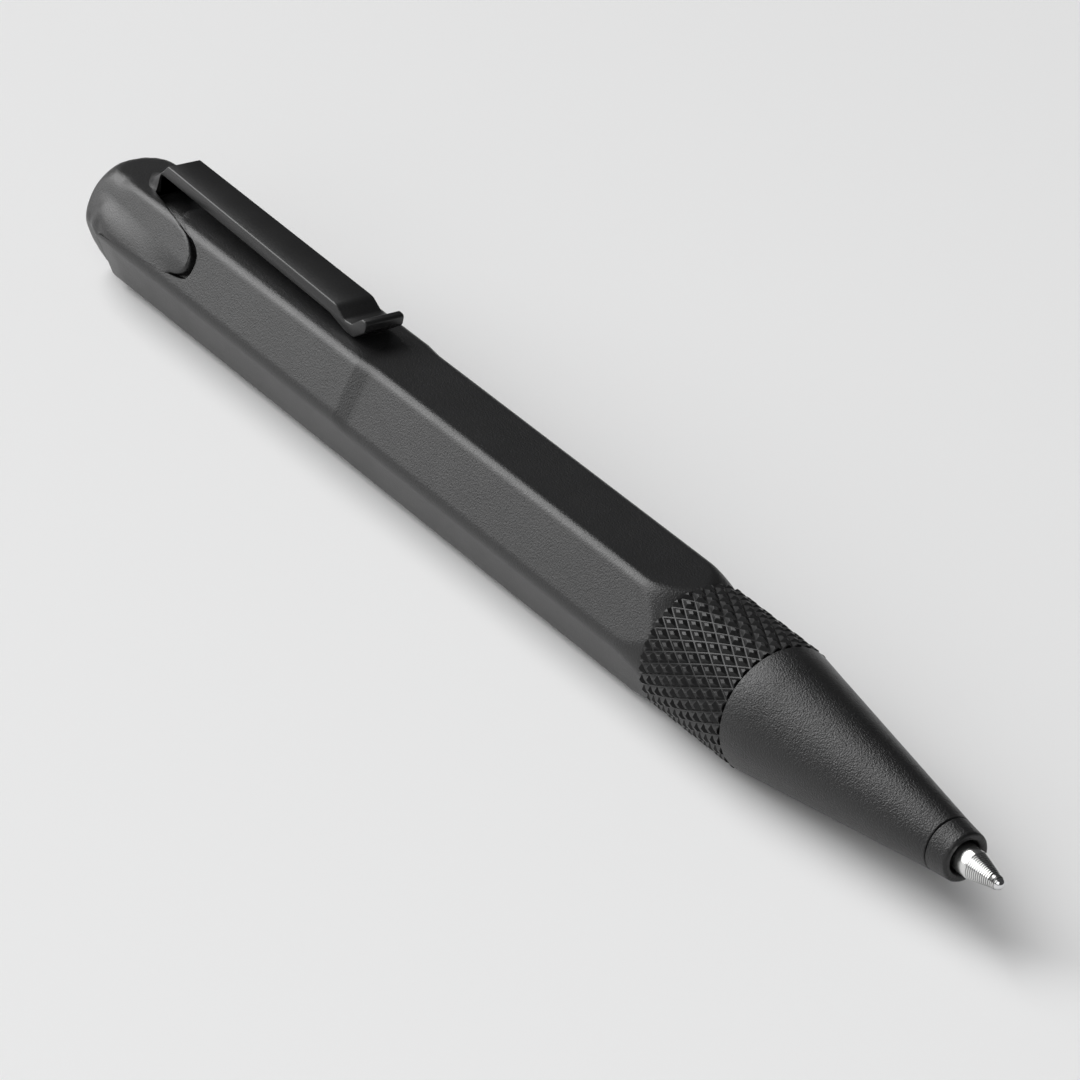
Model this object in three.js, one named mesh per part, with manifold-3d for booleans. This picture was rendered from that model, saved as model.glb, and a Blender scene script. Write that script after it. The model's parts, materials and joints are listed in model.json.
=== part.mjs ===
// A twist ballpoint pen with a six-sided barrel, a knurled turning ring, a tapered cone and a spring clip.
// Millimetres. X runs along the pen to the writing tip, Z is up, and the clip lies on top.
// Lengths along the pen are counted from the rear end and shifted to the middle at the end.
import * as THREE from 'three';
import { mergeVertices } from 'three/addons/utils/BufferGeometryUtils.js';
import Module from 'manifold-3d';

const wasm = await Module();
wasm.setup();

// Barrel section
const acrossFlats = 10.5;          // top flat to bottom flat, and across the lower side flats
const sideLean = 24.4;             // degrees that the side flats lean in from upright
const cornerRadius = 1.84;
const padDepth = 0.22;             // depth of the two finger flats on the front of the upper sides
const padRamp = 2.0;               // length of the run-out behind each finger flat
const cornerRunOut = 3.6;          // length over which the corners fade to round before the ring

// Lengths along the pen, each one set by itself
const capLength = 19.0;            // rear end to the front of the cap's side wings
const wingGap = 0.35;              // seam between the cap and the shoulder cut for it
const barrelAhead = 68.85;         // barrel visible ahead of the wings
const ringLength = 10.4;
const coneLength = 21.6;
const collarLength = 2.05;
const tipOut = 4.35;               // writing tip that shows ahead of the collar when it is out
const travel = 5.5;                // how far the refill moves in half a turn
const padStart = 24.7;             // distance of the run-out's start ahead of the cap

// Radii
const ringRadius = 5.65;
const ringWall = 1.2;              // wall of the turning ring, round the sleeve that it is fixed on
const coneShoulder = ringRadius - 0.09;  // cone radius just ahead of the ring
const collarRear = 2.36;           // cone radius at the groove behind the collar
const collarFront = 2.1;
const boreRadius = 4.15;           // barrel bore round the mechanism
const bushSeatRadius = 4.45;       // wider bore at the front for the pivot bush
const spigotRadius = 3.6;          // solid spigot at the rear, inside the cap
const refillRadius = 2.97;
const refillWall = 0.25;
const refillNeckRadius = 1.7;
const tipRadius = 1.22;
const ballRadius = 0.5;

// Places inside, each one set by itself
const guideLength = 20;
const pinAhead = 9;                // cam pin ahead of the guide's rear end
const plungerBehind = 3;           // short enough to stay in the bore when the refill is drawn back
const plungerAhead = 3.6;
const inkLength = 52;
const springBack = 22.5;           // rear end of the spring's room, behind the writing tip's end
const springRoom = 10;
const neckLength = 3;
const tipSocket = 1.4;             // how far the tip's rod reaches back from the front of the spring's room
const tipShank = 2.2;              // thinner end of the tip's rod, inside the neck
const tipTaper = 3.15;             // cone of the writing tip

// Clearances
const fit = 0.1;                   // between parts that are fixed together
const run = 0.15;                  // round parts that turn or slide
const face = 0.3;                  // between faces that meet end to end

// Clip
const clipWidth = 3.9;
const clipThickness = 1.0;
const clipRear = 8.9;              // where the flat top of the clip starts
const clipLength = 33.2;
const clipRise = 2.6;              // top of the clip above the barrel's top flat, at its rear
const clipSlope = 0.4;             // how much lower the clip is at its front bend
const lipLength = 4.9;             // front bend to the end of the lip

const capProud = ringRadius - acrossFlats / 2;
const seatDepth = 0.45;            // how deep the barrel is cut for the cap
const capRearFlats = 5.05;         // the cap's flats lean in to this distance at its rear end
const domeLength = 5.8;
const domeRadius = 5.38;           // the dome takes the corners off the rear of the cap
const domePower = 3.3;
const domeLean = 0.08;             // how fast the dome still grows ahead of its length
const collarEdge = 5.0;            // front edge of the cap's lower collar
const slotEdge = 9.2;              // rear end of the slot in the cap's top, under the clip
const restWidth = 3.0;             // flat pad under the cap that keeps the pen level on a table
const restRear = 2.7;

const half = acrossFlats / 2;
const barrelFront = capLength + barrelAhead;
const ringRear = barrelFront + face;
const ringFront = ringRear + ringLength;
const coneRear = ringFront + face / 2;
const coneFront = coneRear + coneLength;
const collarStart = coneFront + fit;
const noseFace = collarStart + collarLength;
const totalLength = noseFace + tipOut;
const ballCentre = totalLength - ballRadius;
const padFrom = capLength + padStart;

// Points round a six-sided section whose corners are arcs. One angle per flat, and one distance per flat.
function section(top, upper, lower, radius, arcSteps = 4) {
  const flats = [
    [-90, top], [-sideLean, lower], [sideLean, upper],
    [90, top], [180 - sideLean, upper], [180 + sideLean, lower],
  ];
  const points = [];
  flats.forEach(([a, d], i) => {
    const [b0, e] = flats[(i + 1) % flats.length];
    const b = b0 < a ? b0 + 360 : b0;
    const [p, q] = [a, b].map(THREE.MathUtils.degToRad);
    const det = Math.sin(q - p);
    const cy = ((d - radius) * Math.sin(q) - (e - radius) * Math.sin(p)) / det;
    const cz = ((e - radius) * Math.cos(p) - (d - radius) * Math.cos(q)) / det;
    for (let k = 0; k <= arcSteps; k++) {
      const t = p + (q - p) * k / arcSteps;
      points.push([cy + radius * Math.cos(t), cz + radius * Math.sin(t)]);
    }
  });
  return points;
}

// A closed skin through sections along X. Each ring is { x, points } with as many points as the others.
function skin(rings) {
  const n = rings[0].points.length;
  const position = [];
  const index = [];
  rings.forEach(({ x, points }) => points.forEach(([y, z]) => position.push(x, y, z)));
  for (let i = 0; i + 1 < rings.length; i++) {
    for (let k = 0; k < n; k++) {
      const a = i * n + k;
      const b = i * n + (k + 1) % n;
      index.push(a, b, b + n, a, b + n, a + n);
    }
  }
  [0, rings.length - 1].forEach((i) => {
    const centre = position.length / 3;
    position.push(rings[i].x, 0, 0);
    for (let k = 0; k < n; k++) {
      const a = i * n + k;
      const b = i * n + (k + 1) % n;
      index.push(centre, ...(i === 0 ? [b, a] : [a, b]));
    }
  });
  const geometry = new THREE.BufferGeometry();
  geometry.setAttribute('position', new THREE.Float32BufferAttribute(position, 3));
  geometry.setIndex(index);
  return geometry;
}

// A turned solid about X from [x, radius] points, listed so that the outside runs towards the tip.
function turned(points, steps = 32) {
  const closed = points[0][1] === 0 ? points : [...points, points[0]];
  const profile = closed.map(([x, r]) => new THREE.Vector2(r, x));
  return new THREE.LatheGeometry(profile, steps).rotateZ(-Math.PI / 2);
}

// A plain tube or, with no inner radius, a plain rod.
function tube(x0, x1, outer, inner = 0, steps = 32) {
  if (inner === 0) return turned([[x0, 0], [x0, outer], [x1, outer], [x1, 0]], steps);
  return turned([[x0, inner], [x0, outer], [x1, outer], [x1, inner]], steps);
}

// A plate of the given width across the pen, from an outline in X and Z.
function plate(outline, width) {
  const shape = new THREE.Shape(outline.map(([x, z]) => new THREE.Vector2(x, z)));
  const solid = new THREE.ExtrudeGeometry(shape, { depth: width, bevelEnabled: false });
  return solid.rotateX(Math.PI / 2).translate(0, width / 2, 0);
}

// Points on an arc in X and Z, angles in degrees, both ends included.
function arc(x, z, radius, from, to, steps = 6) {
  return Array.from({ length: steps + 1 }, (_, k) => {
    const t = THREE.MathUtils.degToRad(from + (to - from) * k / steps);
    return [x + radius * Math.cos(t), z + radius * Math.sin(t)];
  });
}

function solid(geometry) {
  const bare = geometry.clone();
  bare.deleteAttribute('normal');
  bare.deleteAttribute('uv');
  const merged = mergeVertices(bare, 1e-5);
  return new wasm.Manifold(new wasm.Mesh({
    numProp: 3,
    vertProperties: Float32Array.from(merged.attributes.position.array),
    triVerts: Uint32Array.from(merged.index.array),
  }));
}

function geometryOf(body) {
  const mesh = body.getMesh();
  const geometry = new THREE.BufferGeometry();
  geometry.setAttribute('position', new THREE.Float32BufferAttribute(mesh.vertProperties, 3));
  geometry.setIndex(Array.from(mesh.triVerts));
  return geometry;
}

const cut = (body, ...tools) => tools.reduce((left, tool) => left.subtract(solid(tool)), body);

const blackAnodised = new THREE.MeshStandardMaterial({ color: 0x2b2b2d, roughness: 0.55, metalness: 0.6 });
const steel = new THREE.MeshStandardMaterial({ color: 0xb8babd, roughness: 0.25, metalness: 1 });
const brass = new THREE.MeshStandardMaterial({ color: 0xb08d4a, roughness: 0.35, metalness: 1 });
const rubber = new THREE.MeshStandardMaterial({ color: 0x161616, roughness: 0.9, metalness: 0 });
const nylon = new THREE.MeshStandardMaterial({ color: 0xe6e4dc, roughness: 0.6, metalness: 0 });
const ink = new THREE.MeshStandardMaterial({ color: 0x10131c, roughness: 0.3, metalness: 0 });

const pen = new THREE.Group();
function add(name, geometry, material) {
  const mesh = new THREE.Mesh(geometry, material);
  mesh.name = name;
  pen.add(mesh);
}

// What the cap covers: a lower collar, a round-ended wing on each upper side, and between the wings a slot
// that widens forwards under the clip. The seams widen it for the shoulder that is cut in the barrel.
function capCover(frontSeam, sideSeam) {
  const wingRound = 1.8;
  const wingHeight = 3.1;          // centre of the wing's round end above the pen's axis
  const edgeRound = 0.5;
  const ridge = 5.3;
  const ridgeBehind = 2.4;         // where the wing's top edge crosses the ridge, behind the wing's front
  const slotDeeper = 0.6;          // how much deeper than the wings' seat the slot goes
  const outside = ringRadius + 3;
  const edge = collarEdge + sideSeam;
  const low = wingHeight - wingRound - sideSeam;
  const around = wingRound + frontSeam;
  const side = plate([
    [-1, -outside],
    [edge, -outside],
    ...arc(edge + edgeRound, low - edgeRound, edgeRound, 180, 90),
    ...arc(capLength - wingRound, wingHeight, around, -78, 68, 8),
    [capLength - ridgeBehind + frontSeam, ridge],
    [capLength - ridgeBehind + frontSeam, outside],
    [-1, outside],
  ], 20);
  const rearHalf = 2.4 - frontSeam / 2;
  const frontHalf = 6.3 - frontSeam / 2;
  const slotShape = new THREE.Shape([
    [slotEdge + frontSeam, -rearHalf], [capLength + 8, -frontHalf],
    [capLength + 8, frontHalf], [slotEdge + frontSeam, rearHalf],
  ].map(([x, y]) => new THREE.Vector2(x, y)));
  const slot = new THREE.ExtrudeGeometry(slotShape, { depth: 6, bevelEnabled: false })
    .translate(0, 0, half - seatDepth - slotDeeper - fit + sideSeam);
  return solid(side).subtract(solid(slot));
}

const spigotRear = 5.3;
const seatRear = 12;
const boreRear = capLength - 3;
const lockScrewRadius = 1.25;
const lockHead = 0.9;              // how far the screw's head stands out round its shank
const lockHeadRear = spigotRear + 2;

// Barrel
function barrel() {
  const rings = [];
  const steps = 4;
  const ring = (x, upper, radius) => rings.push({ x, points: section(half, upper, half, radius) });
  ring(collarEdge, half + padDepth, cornerRadius);
  ring(padFrom, half + padDepth, cornerRadius);
  ring(padFrom + padRamp, half, cornerRadius);
  for (let k = 0; k <= steps; k++) {
    const t = k / steps;
    const radius = cornerRadius + (half - 0.02 - cornerRadius) * t * t;
    ring(barrelFront - cornerRunOut * (1 - t), half, radius);
  }
  const seat = skin([seatRear, capLength + 1].map((x) => ({
    x, points: section(half - seatDepth, half + padDepth - seatDepth, half - seatDepth, cornerRadius),
  })));
  const round = capCover(wingGap, fit).subtract(solid(seat));
  const body = solid(skin(rings)).subtract(round).add(solid(tube(spigotRear, seatRear + 1, spigotRadius)));
  return geometryOf(cut(
    body,
    tube(spigotRear - 1, boreRear + 1, lockScrewRadius + fit, 0, 24),
    tube(lockHeadRear, boreRear + 1, lockScrewRadius + lockHead + 2 * fit, 0, 24),
    tube(boreRear, barrelFront - bushLength - bushInset, boreRadius),
    tube(barrelFront - bushLength - bushInset - 1, barrelFront + 1, bushSeatRadius),
  ));
}

// Pivot bush, fixed in the front of the barrel, in which the turning front section runs
const bushLength = 10.3;
const bushInset = 1.25;
const bushFront = barrelFront - bushInset;
const bushRear = bushFront - bushLength;
const journalRadius = 3.6;
const driveOuter = journalRadius;
const ringBore = ringRadius - ringWall;
const sleeveRadius = ringBore - fit;
const driveBore = refillRadius + run;
const washerThickness = 0.35;
const shoulderRear = bushFront + washerThickness + 2 * fit;
const oRingSection = 0.19;
const oRingCentre = journalRadius + run + oRingSection;

const oRingAt = bushRear + 4.5;
function pivotBush() {
  const inner = journalRadius + run;
  const groove = oRingCentre + oRingSection + 0.04;
  const width = oRingSection + 0.08;
  return turned([
    [bushRear, inner], [bushRear, bushSeatRadius - fit],
    [bushFront, bushSeatRadius - fit], [bushFront, inner],
    [oRingAt + width, inner], [oRingAt + width, groove], [oRingAt - width, groove], [oRingAt - width, inner],
  ]);
}

function frictionRing() {
  return new THREE.TorusGeometry(oRingCentre, oRingSection, 6, 32)
    .rotateY(Math.PI / 2).translate(oRingAt, 0, 0);
}

function thrustWasher() {
  return tube(bushFront + fit, shoulderRear - fit, sleeveRadius - fit / 2, driveOuter + fit);
}

// Cap: a domed six-sided end with a collar below and two side wings, whose flats lean in to the rear
const tangLength = 1.3;
const tangWidth = 2.4;
const tangRear = 7.2;
const tangFoot = 4.6;
const tangCentre = tangRear + tangLength / 2;
const clipScrewRadius = 0.45;
const clipScrewHead = 0.95;
const capBore = spigotRadius + fit;

function capFlatAt(x) {
  return capRearFlats + (ringRadius - capRearFlats) * (x + 1) / (capLength + 1);
}

function domeRadiusAt(x) {
  const t = (domeLength - x) / domeLength;
  return domeRadius * (1 - t ** domePower) ** (1 / domePower);
}

function rearCap() {
  const stations = [0.04, 0.15, 0.35, 0.65, 1.05, 1.6, 2.3, 3.2, 4.3, domeLength];
  const lead = capLength + 1 - domeLength;
  const dome = turned([
    [0, 0], [0, domeRadiusAt(0.015)],
    ...stations.map((x) => [x, domeRadiusAt(x)]),
    [capLength + 1, domeRadius + domeLean * lead], [capLength + 1, 0],
  ], 40);
  const outside = [-1, capLength, capLength + 2].map((x) => {
    const flat = Math.min(ringRadius, capFlatAt(x));
    const share = Math.min(1, (x + 1) / (capLength + 1));
    const upper = flat + padDepth * (1 + share) / 2;
    return { x, points: section(flat, upper, flat, cornerRadius + capProud * share) };
  });
  const socketSection = section(
    half - seatDepth + fit, half + padDepth - seatDepth + fit, half - seatDepth + fit, cornerRadius + fit,
  );
  const restPad = plate([
    [restRear, -half + 0.1], [restRear + 0.7, -ringRadius], [collarEdge, -ringRadius],
    [collarEdge, -half + 0.7], [restRear, -half + 0.7],
  ], restWidth);
  const body = solid(skin(outside)).intersect(solid(dome)).intersect(capCover(0, 0)).add(solid(restPad));
  const slot = new THREE.BoxGeometry(tangLength + 2 * fit, tangWidth + 2 * fit, 4)
    .translate(tangCentre, 0, tangFoot - fit + 2);
  const screwHole = new THREE.CylinderGeometry(clipScrewRadius + fit, clipScrewRadius + fit, 4, 24)
    .rotateX(Math.PI / 2).translate(tangCentre, 0, tangFoot - 1);
  const countersink = new THREE.CylinderGeometry(clipScrewHead + fit, clipScrewHead + fit, 3, 24)
    .rotateX(Math.PI / 2).translate(tangCentre, 0, capBore + 0.55 - 1.5);
  return geometryOf(cut(
    body,
    skin([seatRear - face, capLength + 3].map((x) => ({ x, points: socketSection }))),
    tube(spigotRear - face, seatRear + 1, capBore),
    tube(1.6, spigotRear, lockScrewRadius - 0.15 + fit, 0, 24),
    slot, screwHole, countersink,
  ));
}

// Screw that holds the cap, driven from inside the barrel, with a hexagon socket
function capScrew() {
  const headLength = 1.5;
  const headRear = lockHeadRear + fit;
  const shank = turned([
    [2.0, 0], [2.0, lockScrewRadius - 0.15], [spigotRear - face - fit, lockScrewRadius - 0.15],
    [spigotRear - face, lockScrewRadius], [headRear, lockScrewRadius], [headRear, lockScrewRadius + lockHead],
    [headRear + headLength, lockScrewRadius + lockHead], [headRear + headLength, 0],
  ], 24);
  return geometryOf(cut(solid(shank), tube(headRear + 0.5, headRear + headLength + 1, 0.9, 0, 6)));
}

// Clip: an arm with a root, a tang that sits in the cap, and a lip that is turned up at the front
function clip() {
  const top = half + clipRise;
  const rootFront = tangRear + tangLength + 0.1;
  const seat = capFlatAt(rootFront) + fit;
  const bend = clipRear + clipLength - lipLength;
  const end = clipRear + clipLength;
  const under = top - clipThickness;
  const bendTop = top - clipSlope;
  const bendUnder = bendTop - clipThickness;
  const heel = half + face;
  const arm = plate([
    [tangRear - 0.3, seat], [rootFront, seat],
    ...arc(rootFront + 0.9, under - 0.9, 0.9, 180, 90, 4),
    [bend - 0.4, bendUnder],
    ...arc(bend + 1.5, heel + 0.55, 0.55, 215, 270, 3),
    [bend + 2.7, heel],
    ...arc(bend + 3.2, heel + 0.95, 0.95, 285, 335, 3),
    ...arc(end - 0.6, bendTop - 0.62, 0.6, -25, 95, 6),
    [bend + 3.2, bendTop - 0.42],
    [bend + 2.1, bendTop - 0.72],
    [bend + 0.35, bendTop - 0.1],
    [bend, bendTop],
    [clipRear, top],
    ...arc(tangRear - 0.5, top - 0.05, 1.5, -8, -62, 4),
  ], clipWidth);
  const tang = new THREE.BoxGeometry(tangLength, tangWidth, seat + 0.5 - tangFoot)
    .translate(tangCentre, 0, (seat + 0.5 + tangFoot) / 2);
  const hole = new THREE.CylinderGeometry(clipScrewRadius + 0.12, clipScrewRadius + 0.12, 2.4, 24)
    .rotateX(Math.PI / 2).translate(tangCentre, 0, tangFoot + 0.4);
  return geometryOf(cut(solid(arm).add(solid(tang)), hole));
}

// Screw that holds the clip's tang, put in from inside the cap
function clipScrew() {
  const head = capBore - fit / 2;
  const neck = head + 0.45;
  const end = tangFoot + 1.4;
  const points = [
    [head, 0], [head, clipScrewHead], [neck, clipScrewHead], [neck, clipScrewRadius],
    [end, clipScrewRadius], [end, 0],
  ];
  return turned(points, 24).rotateY(-Math.PI / 2).translate(tangCentre, 0, 0);
}

// Cam at the rear: a fixed guide with a straight slot, round a turning tube with a helical slot
const guideRear = boreRear + face;
const guideWall = 0.4;
const pinRadius = 0.55;
const pinAt = guideRear + pinAhead;
const slotWidth = 2 * (pinRadius + run);

// A bar along a helix round X, from one angle to the other in degrees, as a cutting tool
function helixBar(x0, x1, from, to, inner, outer, width, steps = 24) {
  const rings = [];
  for (let k = 0; k <= steps; k++) {
    const t = k / steps;
    const angle = THREE.MathUtils.degToRad(from + (to - from) * t);
    rings.push({ x: x0 + (x1 - x0) * t, angle });
  }
  const position = [];
  const index = [];
  rings.forEach(({ x, angle }) => {
    [[inner, -1], [outer, -1], [outer, 1], [inner, 1]].forEach(([r, side]) => {
      position.push(x + side * width / 2, r * Math.cos(angle), r * Math.sin(angle));
    });
  });
  for (let i = 0; i < steps; i++) {
    for (let k = 0; k < 4; k++) {
      const a = 4 * i + k;
      const b = 4 * i + (k + 1) % 4;
      index.push(a, b, b + 4, a, b + 4, a + 4);
    }
  }
  const last = 4 * steps;
  index.push(0, 2, 1, 0, 3, 2, last, last + 1, last + 2, last, last + 2, last + 3);
  const geometry = new THREE.BufferGeometry();
  geometry.setAttribute('position', new THREE.Float32BufferAttribute(position, 3));
  geometry.setIndex(index);
  return geometry;
}

function guideSleeve() {
  const outer = boreRadius - fit / 2;
  const slotLength = travel + 2 * (pinRadius + run);
  const slot = new THREE.BoxGeometry(slotLength, slotWidth, 3)
    .translate(pinAt - travel / 2, 0, outer);
  const body = solid(tube(guideRear, guideRear + guideLength, outer, outer - guideWall));
  return geometryOf(body.subtract(solid(slot)));
}

const driveRear = guideRear + 0.6;
const spigotFront = coneRear + 5;
function driveTube() {
  const groove = 0.22;
  const clipFront = bushRear - fit;
  const body = turned([
    [driveRear, driveBore], [driveRear, driveOuter - 0.05],
    [clipFront - retainerWidth - 2 * fit, driveOuter - 0.05],
    [clipFront - retainerWidth - 2 * fit, driveOuter - groove],
    [clipFront, driveOuter - groove], [clipFront, driveOuter],
    [shoulderRear, driveOuter], [shoulderRear, sleeveRadius],
    [spigotFront, sleeveRadius], [spigotFront, driveBore],
  ]);
  const over = THREE.MathUtils.radToDeg((pinRadius + run) / driveOuter);
  const lead = travel / 180;
  const bar = helixBar(
    pinAt + over * lead, pinAt - travel - over * lead, 90 + over, 90 - 180 - over,
    driveBore - 0.6, driveOuter + 0.6, slotWidth + 0.25,
  );
  return geometryOf(solid(body).subtract(solid(bar)));
}

const retainerWidth = 0.6;
function retainingRing() {
  const front = bushRear - fit - fit;
  const arcGap = 60;
  const outer = new THREE.Shape();
  const [from, to] = [arcGap / 2, 360 - arcGap / 2].map(THREE.MathUtils.degToRad);
  outer.absarc(0, 0, journalRadius + 0.35, from, to, false);
  outer.absarc(0, 0, journalRadius - 0.12, to, from, true);
  return new THREE.ExtrudeGeometry(outer, { depth: retainerWidth, bevelEnabled: false, curveSegments: 24 })
    .rotateY(Math.PI / 2).translate(front - retainerWidth, 0, 0);
}

// Front section: ring, cone and collar
const knurlEdge = 0.3;
function knurledRing() {
  return turned([
    [ringRear, ringBore], [ringRear, ringRadius - knurlEdge], [ringRear + knurlEdge, ringRadius],
    [ringFront - knurlEdge, ringRadius], [ringFront, ringRadius - knurlEdge], [ringFront, ringBore],
  ], 40);
}

const springRear = totalLength - springBack;
const springFront = springRear + springRoom;
const springSeatBore = 2.7;
const collarSpigot = 1.8;
function frontCone() {
  const round = 0.5;
  const outside = [20, 45, 70].map((angle) => {
    const t = THREE.MathUtils.degToRad(angle);
    return [coneRear + round * (1 - Math.cos(t)), coneShoulder - round * (1.1 - Math.sin(t))];
  });
  return turned([
    [coneRear, ringBore], [coneRear, coneShoulder - 1.1 * round], ...outside,
    [coneRear + round, coneShoulder - 0.1 * round], [coneFront, collarRear],
    [coneFront, collarSpigot + fit], [springFront + face, collarSpigot + fit],
    [springFront + face, springSeatBore], [springRear + 1.2, springSeatBore],
    [springRear + 1.2, refillRadius + run], [spigotFront + face, refillRadius + run],
    [spigotFront + face, ringBore],
  ], 40);
}

const tipBore = tipRadius + run;
function noseCollar() {
  const edge = 0.18;
  return turned([
    [springFront + face, tipBore], [springFront + face, collarSpigot],
    [collarStart, collarSpigot], [collarStart, collarRear - 0.1],
    [collarStart + 0.08, collarRear - 0.02],
    [noseFace - edge, collarFront + 0.05], [noseFace, collarFront - edge], [noseFace, tipBore],
  ], 40);
}

// Return spring round the neck of the refill
function returnSpring() {
  const turns = 9;
  const wire = 0.2;
  const coil = 2.3;
  const stepsPerTurn = 8;
  const start = springRear + face + wire;
  const end = springFront + face - 0.1 - wire;
  class Helix extends THREE.Curve {
    getPoint(t, target = new THREE.Vector3()) {
      const a = 2 * Math.PI * turns * t;
      return target.set(start + (end - start) * t, coil * Math.cos(a), coil * Math.sin(a));
    }
  }
  const circle = new THREE.Shape();
  for (let k = 0; k < 5; k++) {
    const a = 2 * Math.PI * k / 5;
    circle[k === 0 ? 'moveTo' : 'lineTo'](wire * Math.cos(a), wire * Math.sin(a));
  }
  const shape = { steps: turns * stepsPerTurn, extrudePath: new Helix(), bevelEnabled: false };
  return new THREE.ExtrudeGeometry(circle, shape);
}

// Refill: plunger and pin behind it, end plug, tube with ink, neck, tip and ball
const refillRear = pinAt + plungerAhead;
const refillShoulder = springRear;
const plugLength = 2.6;
const tubeBore = refillRadius - refillWall;
function plunger() {
  const rod = solid(tube(pinAt - plungerBehind, refillRear - face, refillRadius));
  const hole = new THREE.CylinderGeometry(pinRadius + 0.03, pinRadius + 0.03, 6, 24)
    .rotateX(Math.PI / 2).translate(pinAt, 0, 2.5);
  return geometryOf(rod.subtract(solid(hole)));
}

function camPin() {
  const foot = -0.4;
  const head = boreRadius - 0.25;
  return new THREE.CylinderGeometry(pinRadius, pinRadius, head - foot, 24)
    .rotateX(Math.PI / 2).translate(pinAt, 0, (head + foot) / 2);
}

function refillPlug() {
  const head = 0.8;
  return turned([
    [refillRear, 0.6], [refillRear, refillRadius - 0.1], [refillRear + head, refillRadius],
    [refillRear + head, tubeBore - 0.05], [refillRear + plugLength, tubeBore - 0.15],
    [refillRear + plugLength, 0.6],
  ], 24);
}

const neckRear = refillShoulder - neckLength;
const shankRear = springFront - tipSocket - tipShank;
const tipTubeRear = springFront - tipSocket;
function refillTube() {
  return tube(refillRear + 0.8 + 0.05, neckRear, refillRadius, tubeBore, 32);
}

const inkBore = 0.6;
function refillNeck() {
  return turned([
    [neckRear + 0.05, inkBore], [neckRear + 0.05, refillRadius], [refillShoulder, refillRadius],
    [refillShoulder, refillNeckRadius], [tipTubeRear, refillNeckRadius],
    [tipTubeRear, tipRadius - 0.35], [shankRear, tipRadius - 0.35], [shankRear, inkBore],
  ], 24);
}

const tipConeRear = totalLength - tipTaper;
const tipMouth = 0.47;
function refillTip() {
  const seat = ballRadius + 0.06;
  const lip = 0.16;
  return turned([
    [shankRear + fit, 0.35], [shankRear + fit, tipRadius - 0.4], [tipTubeRear + 0.05, tipRadius - 0.4],
    [tipTubeRear + 0.05, tipRadius], [tipConeRear - 0.12, tipRadius], [tipConeRear, tipRadius - 0.1],
    [ballCentre - 0.15, tipMouth + 0.17],
    [ballCentre + lip, tipMouth + 0.07], [ballCentre + lip, tipMouth + 0.02],
    [ballCentre, seat], [ballCentre - 0.3, seat - 0.05], [ballCentre - 0.62, 0.35],
  ], 24);
}

function writingBall() {
  return new THREE.SphereGeometry(ballRadius, 16, 10).translate(ballCentre, 0, 0);
}

add('barrel', barrel(), blackAnodised);
add('rear_cap', rearCap(), blackAnodised);
add('cap_screw', capScrew(), steel);
add('clip', clip(), blackAnodised);
add('clip_screw', clipScrew(), steel);
add('guide_sleeve', guideSleeve(), brass);
add('pivot_bush', pivotBush(), brass);
add('friction_o_ring', frictionRing(), rubber);
add('thrust_washer', thrustWasher(), nylon);
add('drive_tube', driveTube(), brass);
add('retaining_ring', retainingRing(), steel);
add('knurled_ring', knurledRing(), blackAnodised);
add('front_cone', frontCone(), blackAnodised);
add('nose_collar', noseCollar(), blackAnodised);
add('return_spring', returnSpring(), steel);
add('plunger', plunger(), brass);
add('cam_pin', camPin(), steel);
add('refill_plug', refillPlug(), nylon);
add('refill_tube', refillTube(), steel);
add('ink_column', tube(neckRear - inkLength, neckRear - fit, tubeBore - 0.05, 0, 24), ink);
add('refill_neck', refillNeck(), steel);
add('refill_tip', refillTip(), steel);
add('writing_ball', writingBall(), steel);

pen.position.set(-totalLength / 2, 0, ringRadius);
const model = new THREE.Group();
model.add(pen);
export default model;
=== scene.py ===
"""A twist ballpoint pen lying on a pale table, clip up and writing tip out. Lengths in the shape
functions are millimetres from the pen's rear end, and finished pieces are moved into the frame."""
import json
import math

import bmesh
import bpy
import numpy as np
from mathutils import Matrix, Vector


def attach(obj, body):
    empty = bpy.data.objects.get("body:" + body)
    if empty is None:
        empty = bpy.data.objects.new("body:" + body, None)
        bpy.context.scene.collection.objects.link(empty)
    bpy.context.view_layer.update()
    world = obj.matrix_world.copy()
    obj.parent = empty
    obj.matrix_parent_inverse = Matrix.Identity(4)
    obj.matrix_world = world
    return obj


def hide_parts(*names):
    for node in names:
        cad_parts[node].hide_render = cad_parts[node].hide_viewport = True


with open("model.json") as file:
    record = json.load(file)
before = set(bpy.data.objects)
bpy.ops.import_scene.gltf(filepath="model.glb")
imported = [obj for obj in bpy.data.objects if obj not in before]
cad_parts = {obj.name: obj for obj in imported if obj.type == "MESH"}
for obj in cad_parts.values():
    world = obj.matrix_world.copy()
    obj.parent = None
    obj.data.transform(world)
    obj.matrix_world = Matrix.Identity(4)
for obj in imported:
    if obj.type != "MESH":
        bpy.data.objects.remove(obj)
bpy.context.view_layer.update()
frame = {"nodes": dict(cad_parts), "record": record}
scene = bpy.context.scene
scene.view_settings.view_transform = "Standard"

# Camera, above the tip and to the near side, with a long lens. Its place is a fit to the edges of the
# barrel, the rims of the ring, the cone and the nose.
azimuth = math.radians(52.511)
elevation = math.radians(29.218)
roll = math.radians(5.679)
camera_distance = 0.454549
aim_across = 0.002138
aim_up = 0.002370
focal_share = 5500 / 1080          # focal length as a share of the frame's width

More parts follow.
